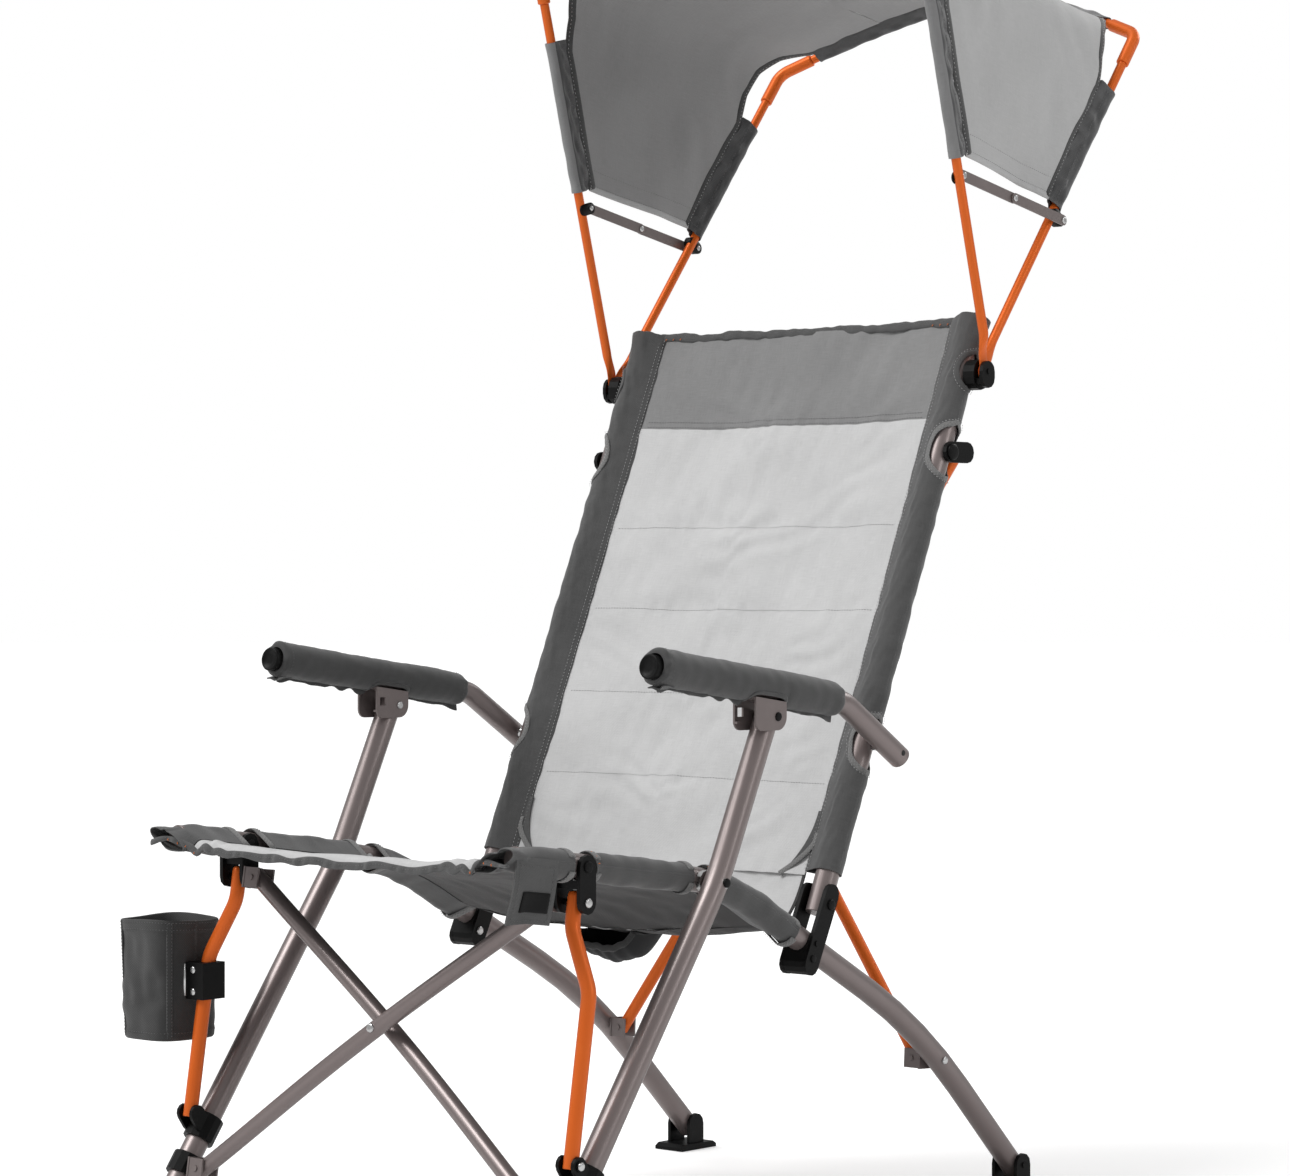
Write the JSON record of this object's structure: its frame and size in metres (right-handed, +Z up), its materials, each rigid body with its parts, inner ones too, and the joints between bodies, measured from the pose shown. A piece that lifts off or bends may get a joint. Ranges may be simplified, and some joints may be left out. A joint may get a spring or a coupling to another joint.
{
  "type": "folding canopy chair",
  "caption": "Folding chair with a sling seat and back, padded arms, crossed braces, a cup holder and a tilting fabric canopy on two bows.",
  "frame": {"origin": "centre of the overall box at the floor", "axes": "+Z up, the sitter looks along -Y, the sitter's left is +X"},
  "size_m": [0.7192, 1.1938, 1.6124],
  "materials": {
    "grey_tube": "satin",
    "orange_tube": "satin",
    "bracket_metal": "satin",
    "black_plastic": "fine texture",
    "bolt_steel": "plated",
    "seat_fabric": "plain weave",
    "back_fabric": "plain weave",
    "canopy_fabric": "plain weave",
    "dark_fabric": "plain weave"
  },
  "bodies": {
    "front_leg_left": {"front_leg_left": "grey_tube", "brace_collar_left": "black_plastic", "seat_pivot_bolt_left": "bolt_steel"},
    "front_leg_right": {"front_leg_right": "grey_tube", "brace_collar_right": "black_plastic", "seat_pivot_bolt_right": "bolt_steel"},
    "seat_rail_left": {"seat_rail_left": "grey_tube", "front_link_left": "black_plastic", "rear_link_left": "black_plastic", "seat_sling": "seat_fabric", "pouch": "seat_fabric"},
    "armrest_left": {"armrest_tube_left": "grey_tube", "armrest_cover_left": "dark_fabric", "armrest_bracket_left": "bracket_metal"},
    "back_post_left": {"back_post_left": "grey_tube", "hub_bracket_left": "black_plastic", "back_sling": "back_fabric"},
    "strut_left": {"strut_left": "orange_tube"},
    "slide_collar_left": {"slide_collar_left": "black_plastic"},
    "front_brace_foot_left": {"front_brace_foot_left": "bracket_metal"},
    "front_brace_head_left": {"front_brace_head_left": "bracket_metal"},
    "rear_brace_foot_left": {"rear_brace_foot_left": "bracket_metal"},
    "rear_brace_head_left": {"rear_brace_head_left": "black_plastic"},
    "front_brace_left": {"front_brace_left": "grey_tube"},
    "rear_brace_left": {"rear_brace_left": "orange_tube"},
    "canopy_front_leg_left": {"canopy_front_leg_left": "orange_tube", "canopy_side_left": "canopy_fabric", "arch_front": "orange_tube", "canopy_middle": "canopy_fabric"},
    "canopy_rear_leg_left": {"canopy_rear_leg_left": "orange_tube", "arch_rear": "orange_tube"},
    "stay_front_left": {"stay_front_left": "bracket_metal"},
    "stay_rear_left": {"stay_rear_left": "bracket_metal"},
    "front_foot_left": {"front_foot_left": "black_plastic"},
    "rear_foot_left": {"rear_foot_left": "black_plastic"},
    "seat_rail_right": {"seat_rail_right": "grey_tube", "front_link_right": "black_plastic", "rear_link_right": "black_plastic"},
    "armrest_right": {"armrest_tube_right": "grey_tube", "armrest_cover_right": "dark_fabric", "armrest_bracket_right": "bracket_metal"},
    "back_post_right": {"back_post_right": "grey_tube", "hub_bracket_right": "black_plastic"},
    "strut_right": {"strut_right": "orange_tube", "cup_clamp": "black_plastic", "cup_holder": "dark_fabric"},
    "slide_collar_right": {"slide_collar_right": "black_plastic"},
    "front_brace_foot_right": {"front_brace_foot_right": "bracket_metal"},
    "front_brace_head_right": {"front_brace_head_right": "bracket_metal"},
    "rear_brace_foot_right": {"rear_brace_foot_right": "bracket_metal"},
    "rear_brace_head_right": {"rear_brace_head_right": "black_plastic"},
    "front_brace_right": {"front_brace_right": "grey_tube"},
    "rear_brace_right": {"rear_brace_right": "orange_tube"},
    "canopy_front_leg_right": {"canopy_front_leg_right": "orange_tube", "canopy_side_right": "canopy_fabric"},
    "canopy_rear_leg_right": {"canopy_rear_leg_right": "orange_tube"},
    "stay_front_right": {"stay_front_right": "bracket_metal"},
    "stay_rear_right": {"stay_rear_right": "bracket_metal"},
    "front_foot_right": {"front_foot_right": "black_plastic"},
    "rear_foot_right": {"rear_foot_right": "black_plastic"}
  },
  "joints": [
    {"name": "fold", "type": "hinge", "parent": "front_leg_left", "child": "seat_rail_left", "pos_m": [0.30261, -0.29025, 0.41], "axis": [-1, 0, 0], "range_deg": [0, 60], "deforming": ["seat_sling", "pouch", "back_sling", "arch_front", "arch_rear", "canopy_middle"]},
    {"name": "sides_close", "type": "slide", "parent": "front_leg_left", "child": "front_leg_right", "axis": [1, 0, 0], "range_m": [0, 0.1981]},
    {"name": "fold_right", "type": "hinge", "parent": "front_leg_right", "child": "seat_rail_right", "pos_m": [-0.21539, -0.29025, 0.41], "axis": [-1, 0, 0], "range_deg": [0, 60.01]},
    {"name": "armrest_turn_left", "type": "hinge", "parent": "front_leg_left", "child": "armrest_left", "pos_m": [0.33661, -0.20525, 0.588], "axis": [-1, 0, 0], "range_deg": [0, 60.01]},
    {"name": "post_turn_left", "type": "hinge", "parent": "seat_rail_left", "child": "back_post_left", "pos_m": [0.30261, -0.07175, 0.3705], "axis": [-1, 0, 0], "range_deg": [-60.01, 0]},
    {"name": "strut_turn_left", "type": "hinge", "parent": "seat_rail_left", "child": "strut_left", "pos_m": [0.30261, -0.48225, 0.39913], "axis": [-1, 0, 0], "range_deg": [-67.38, 0]},
    {"name": "collar_slide_left", "type": "slide", "parent": "front_leg_left", "child": "slide_collar_left", "axis": [0, 0.5849, 0.8111], "range_m": [0, 0.20764]},
    {"name": "front_foot_bracket_left", "type": "hinge", "parent": "front_leg_left", "child": "front_brace_foot_left", "pos_m": [0.30476, -0.53476, 0.07097], "axis": [-1, 0, 0], "range_deg": [0, 6.47]},
    {"name": "front_head_bracket_left", "type": "hinge", "parent": "front_brace_right", "child": "front_brace_head_left", "pos_m": [0.26886, -0.48225, 0.39913], "axis": [0, 0.9874, -0.158], "range_deg": [0, 31.51]},
    {"name": "rear_foot_bracket_left", "type": "hinge", "parent": "seat_rail_left", "child": "rear_brace_foot_left", "pos_m": [0.27526, 0.15075, 0.1725], "axis": [-1, 0, 0], "range_deg": [-42.81, 0]},
    {"name": "rear_head_bracket_left", "type": "hinge", "parent": "back_post_left", "child": "rear_brace_head_left", "pos_m": [0.30616, 0.15839, 0.889], "axis": [-1, 0, 0], "range_deg": [0, 17.21]},
    {"name": "front_brace_lean_left", "type": "hinge", "parent": "front_brace_foot_left", "child": "front_brace_left", "pos_m": [0.30476, -0.53476, 0.07097], "axis": [0, 0.9874, -0.158], "range_deg": [0, 31.51]},
    {"name": "rear_brace_lean_left", "type": "hinge", "parent": "rear_brace_foot_left", "child": "rear_brace_left", "pos_m": [0.27526, 0.15075, 0.1725], "axis": [0, 0.9986, -0.0536], "range_deg": [0, 16.31]},
    {"name": "armrest_turn_right", "type": "hinge", "parent": "front_leg_right", "child": "armrest_right", "pos_m": [-0.24939, -0.20525, 0.588], "axis": [-1, 0, 0], "range_deg": [0, 60.01]},
    {"name": "post_turn_right", "type": "hinge", "parent": "seat_rail_right", "child": "back_post_right", "pos_m": [-0.21539, -0.07175, 0.3705], "axis": [-1, 0, 0], "range_deg": [-60.01, 0]},
    {"name": "strut_turn_right", "type": "hinge", "parent": "seat_rail_right", "child": "strut_right", "pos_m": [-0.21539, -0.48225, 0.39913], "axis": [-1, 0, 0], "range_deg": [-67.38, 0]},
    {"name": "collar_slide_right", "type": "slide", "parent": "front_leg_right", "child": "slide_collar_right", "axis": [0, 0.5849, 0.8111], "range_m": [0, 0.20764]},
    {"name": "front_foot_bracket_right", "type": "hinge", "parent": "front_leg_right", "child": "front_brace_foot_right", "pos_m": [-0.21754, -0.53476, 0.07097], "axis": [-1, 0, 0], "range_deg": [0, 6.47]},
    {"name": "front_head_bracket_right", "type": "hinge", "parent": "front_brace_left", "child": "front_brace_head_right", "pos_m": [-0.18164, -0.48225, 0.39913], "axis": [0, 0.9874, -0.158], "range_deg": [-31.51, 0]},
    {"name": "rear_foot_bracket_right", "type": "hinge", "parent": "seat_rail_right", "child": "rear_brace_foot_right", "pos_m": [-0.18804, 0.15075, 0.1725], "axis": [-1, 0, 0], "range_deg": [-42.81, 0]},
    {"name": "rear_head_bracket_right", "type": "hinge", "parent": "back_post_right", "child": "rear_brace_head_right", "pos_m": [-0.21894, 0.15839, 0.889], "axis": [-1, 0, 0], "range_deg": [0, 17.21]},
    {"name": "front_brace_lean_right", "type": "hinge", "parent": "front_brace_foot_right", "child": "front_brace_right", "pos_m": [-0.21754, -0.53476, 0.07097], "axis": [0, 0.9874, -0.158], "range_deg": [-31.51, 0]},
    {"name": "rear_brace_lean_right", "type": "hinge", "parent": "rear_brace_foot_right", "child": "rear_brace_right", "pos_m": [-0.18804, 0.15075, 0.1725], "axis": [0, 0.9986, -0.0536], "range_deg": [-16.31, 0]},
    {"name": "canopy_tilt", "type": "hinge", "parent": "back_post_left", "child": "canopy_front_leg_left", "pos_m": [0.33586, 0.20039, 0.985], "axis": [-1, 0, 0], "range_deg": [-40, 58]},
    {"name": "canopy_tilt_right", "type": "hinge", "parent": "back_post_right", "child": "canopy_front_leg_right", "pos_m": [-0.24864, 0.20039, 0.985], "axis": [-1, 0, 0], "range_deg": [-40, 58]},
    {"name": "canopy_close", "type": "hinge", "parent": "canopy_front_leg_left", "child": "canopy_rear_leg_left", "pos_m": [0.33586, 0.20039, 0.985], "axis": [1, 0, 0], "range_deg": [0, 26], "deforming": ["canopy_side_left", "canopy_side_right"]},
    {"name": "canopy_close_right", "type": "hinge", "parent": "canopy_front_leg_right", "child": "canopy_rear_leg_right", "pos_m": [-0.24864, 0.20039, 0.985], "axis": [1, 0, 0], "range_deg": [0, 26.01]},
    {"name": "stay_front_turn_left", "type": "hinge", "parent": "canopy_front_leg_left", "child": "stay_front_left", "pos_m": [0.33821, 0.1564, 1.21301], "axis": [1, 0, 0], "range_deg": [-42.7, 0]},
    {"name": "stay_rear_turn_left", "type": "hinge", "parent": "canopy_rear_leg_left", "child": "stay_rear_left", "pos_m": [0.33821, 0.35761, 1.17491], "axis": [1, 0, 0], "range_deg": [0, 51.12]},
    {"name": "stay_front_turn_right", "type": "hinge", "parent": "canopy_front_leg_right", "child": "stay_front_right", "pos_m": [-0.25099, 0.1564, 1.21301], "axis": [1, 0, 0], "range_deg": [-42.7, 0]},
    {"name": "stay_rear_turn_right", "type": "hinge", "parent": "canopy_rear_leg_right", "child": "stay_rear_right", "pos_m": [-0.25099, 0.35761, 1.17491], "axis": [1, 0, 0], "range_deg": [0, 51.12]},
    {"name": "front_foot_swivel_left", "type": "hinge", "parent": "front_leg_left", "child": "front_foot_left", "pos_m": [0.33661, -0.56287, 0.032], "axis": [1, 0, 0], "range_deg": [-18, 18]},
    {"name": "rear_foot_swivel_left", "type": "hinge", "parent": "seat_rail_left", "child": "rear_foot_left", "pos_m": [0.30261, 0.30375, 0.032], "axis": [1, 0, 0], "range_deg": [-18, 18]},
    {"name": "front_foot_swivel_right", "type": "hinge", "parent": "front_leg_right", "child": "front_foot_right", "pos_m": [-0.24939, -0.56287, 0.032], "axis": [1, 0, 0], "range_deg": [-18, 18]},
    {"name": "rear_foot_swivel_right", "type": "hinge", "parent": "seat_rail_right", "child": "rear_foot_right", "pos_m": [-0.21539, 0.30375, 0.032], "axis": [1, 0, 0], "range_deg": [-18, 18]}
  ],
  "couplings": [
    {"joint": "sides_close", "follows": "fold", "m_per_rad": 0.18908},
    {"joint": "fold_right", "follows": "fold", "ratio": 1},
    {"joint": "armrest_turn_left", "follows": "fold", "ratio": 1},
    {"joint": "post_turn_left", "follows": "fold", "ratio": -1},
    {"joint": "strut_turn_left", "follows": "fold", "ratio": -1.1228},
    {"joint": "collar_slide_left", "follows": "fold", "m_per_rad": 0.19818},
    {"joint": "front_foot_bracket_left", "follows": "fold", "ratio": 0.10765},
    {"joint": "front_head_bracket_left", "follows": "fold", "ratio": 0.525},
    {"joint": "rear_foot_bracket_left", "follows": "fold", "ratio": -0.71333},
    {"joint": "rear_head_bracket_left", "follows": "fold", "ratio": 0.28667},
    {"joint": "front_brace_lean_left", "follows": "fold", "ratio": 0.525},
    {"joint": "rear_brace_lean_left", "follows": "fold", "ratio": 0.27167},
    {"joint": "armrest_turn_right", "follows": "fold", "ratio": 1},
    {"joint": "post_turn_right", "follows": "fold", "ratio": -1},
    {"joint": "strut_turn_right", "follows": "fold", "ratio": -1.1228},
    {"joint": "collar_slide_right", "follows": "fold", "m_per_rad": 0.19818},
    {"joint": "front_foot_bracket_right", "follows": "fold", "ratio": 0.10765},
    {"joint": "front_head_bracket_right", "follows": "fold", "ratio": -0.525},
    {"joint": "rear_foot_bracket_right", "follows": "fold", "ratio": -0.71333},
    {"joint": "rear_head_bracket_right", "follows": "fold", "ratio": 0.28667},
    {"joint": "front_brace_lean_right", "follows": "fold", "ratio": -0.525},
    {"joint": "rear_brace_lean_right", "follows": "fold", "ratio": -0.27167},
    {"joint": "canopy_tilt_right", "follows": "canopy_tilt", "ratio": 1},
    {"joint": "canopy_close_right", "follows": "canopy_close", "ratio": 1},
    {"joint": "stay_front_turn_left", "follows": "canopy_close", "ratio": -1.642},
    {"joint": "stay_rear_turn_left", "follows": "canopy_close", "ratio": 1.9657},
    {"joint": "stay_front_turn_right", "follows": "canopy_close", "ratio": -1.642},
    {"joint": "stay_rear_turn_right", "follows": "canopy_close", "ratio": 1.9657}
  ]
}
